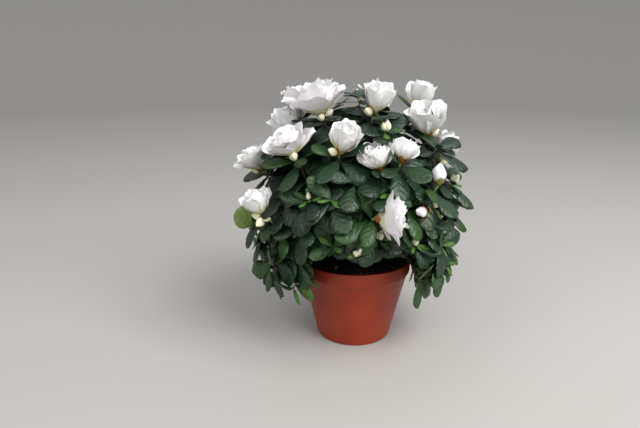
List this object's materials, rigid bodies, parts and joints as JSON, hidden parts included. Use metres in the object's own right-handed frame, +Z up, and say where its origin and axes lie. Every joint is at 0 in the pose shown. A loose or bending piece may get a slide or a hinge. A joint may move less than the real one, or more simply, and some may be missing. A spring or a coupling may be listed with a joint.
{
  "type": "potted azalea shrub",
  "caption": "Round evergreen azalea shrub with leaf rosettes and white double flowers, rooted in peat in a tapered plastic pot with a banded rim.",
  "frame": {"origin": "middle of the pot's flat underside", "axes": "+Z up, -Y towards the front of the plant, +X to the right seen from the front"},
  "size_m": [0.2733, 0.2873, 0.2912],
  "materials": {
    "pot_plastic": "satin moulded plastic, terracotta coloured",
    "peat": "moist crumbly peat, nearly black",
    "bark": "thin grey-brown bark",
    "foliage": "dark green leaves with a soft gloss",
    "petals": "thin white petals, cream towards the throat",
    "bud_scales": "papery brown bud scales"
  },
  "bodies": {
    "root": {"pot": "pot_plastic", "soil": "peat", "trunk": "bark", "bough_lower_1": "bark", "bough_lower_2": "bark", "bough_lower_3": "bark", "bough_lower_4": "bark", "bough_lower_5": "bark", "bough_lower_6": "bark", "bough_middle_1": "bark", "bough_middle_2": "bark", "bough_middle_3": "bark", "bough_middle_4": "bark", "bough_middle_5": "bark", "bough_top_1": "bark", "bough_top_2": "bark", "bough_top_3": "bark", "foliage_lower_1": "foliage", "foliage_lower_2": "foliage", "foliage_lower_3": "foliage", "foliage_lower_4": "foliage", "foliage_lower_5": "foliage", "foliage_lower_6": "foliage", "foliage_middle_1": "foliage", "foliage_middle_2": "foliage", "foliage_middle_3": "foliage", "foliage_middle_4": "foliage", "foliage_middle_5": "foliage", "foliage_top_1": "foliage", "foliage_top_2": "foliage", "foliage_top_3": "foliage"}
  },
  "joints": []
}
